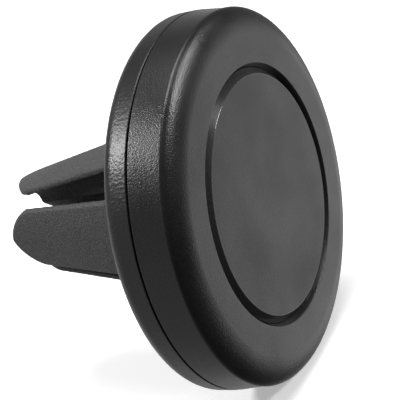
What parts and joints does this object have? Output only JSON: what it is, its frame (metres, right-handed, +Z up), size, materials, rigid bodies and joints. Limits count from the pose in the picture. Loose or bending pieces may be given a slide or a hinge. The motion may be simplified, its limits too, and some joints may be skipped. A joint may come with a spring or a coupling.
{
  "type": "phone mount",
  "caption": "Round magnetic phone holder head that turns on a tapered vent clip with sprung rubber jaws and crossing slots.",
  "frame": {"origin": "on the clip's axis, at the floor of the crossing slots, where the vent blade's edge stops", "axes": "+Y from the phone face to the tips of the jaws, the way the clip is pushed onto the vent; +Z up, a jaw at the top and the slots on the diagonals"},
  "size_m": [0.043, 0.0336, 0.043],
  "materials": {
    "cover_plastic": "fine spark-eroded satin black",
    "shell_plastic": "grained satin black",
    "disc_plastic": "matte black face with a polished chamfer",
    "jaw_rubber": "rough matte black rubber",
    "clip_nylon": "moulded satin black",
    "silicone": "smooth dark grey",
    "adhesive": "pale film",
    "magnet_nickel": "nickel plate",
    "yoke_steel": "zinc-plated sheet",
    "screw_steel": "zinc plate",
    "black_steel": "black oxide",
    "brass": "turned"
  },
  "bodies": {
    "clip": {"clip_hub": "clip_nylon", "threaded_insert": "brass", "swivel_screw": "screw_steel", "swivel_washer": "screw_steel", "friction_washer": "silicone"},
    "head": {"front_cover": "cover_plastic", "rear_shell": "shell_plastic", "shell_screws": "black_steel", "centre_disc": "disc_plastic", "disc_adhesive": "adhesive", "magnet_1": "magnet_nickel", "magnet_2": "magnet_nickel", "magnet_3": "magnet_nickel", "magnet_4": "magnet_nickel", "yoke_plate": "yoke_steel"},
    "jaw_top": {"prong_top": "clip_nylon", "jaw_sleeve_top": "jaw_rubber"},
    "jaw_right": {"prong_right": "clip_nylon", "jaw_sleeve_right": "jaw_rubber"},
    "jaw_bottom": {"prong_bottom": "clip_nylon", "jaw_sleeve_bottom": "jaw_rubber"},
    "jaw_left": {"prong_left": "clip_nylon", "jaw_sleeve_left": "jaw_rubber"}
  },
  "joints": [
    {"name": "head_swivel", "type": "hinge", "parent": "clip", "child": "head", "pos_m": [0, -0.0074, 0], "axis": [0, 1, 0], "continuous": true},
    {"name": "jaw_top_spread", "type": "hinge", "parent": "clip", "child": "jaw_top", "pos_m": [0, -0.0018, 0.00561], "axis": [1, 0, 0], "range_deg": [0, 5], "stiffness_Nm_per_rad": 0.6},
    {"name": "jaw_right_spread", "type": "hinge", "parent": "clip", "child": "jaw_right", "pos_m": [0.00561, -0.0018, 0], "axis": [0, 0, -1], "range_deg": [0, 5], "stiffness_Nm_per_rad": 0.6},
    {"name": "jaw_bottom_spread", "type": "hinge", "parent": "clip", "child": "jaw_bottom", "pos_m": [0, -0.0018, -0.00561], "axis": [-1, 0, 0], "range_deg": [0, 5], "stiffness_Nm_per_rad": 0.6},
    {"name": "jaw_left_spread", "type": "hinge", "parent": "clip", "child": "jaw_left", "pos_m": [-0.00561, -0.0018, 0], "axis": [0, 0, 1], "range_deg": [0, 5], "stiffness_Nm_per_rad": 0.6}
  ]
}
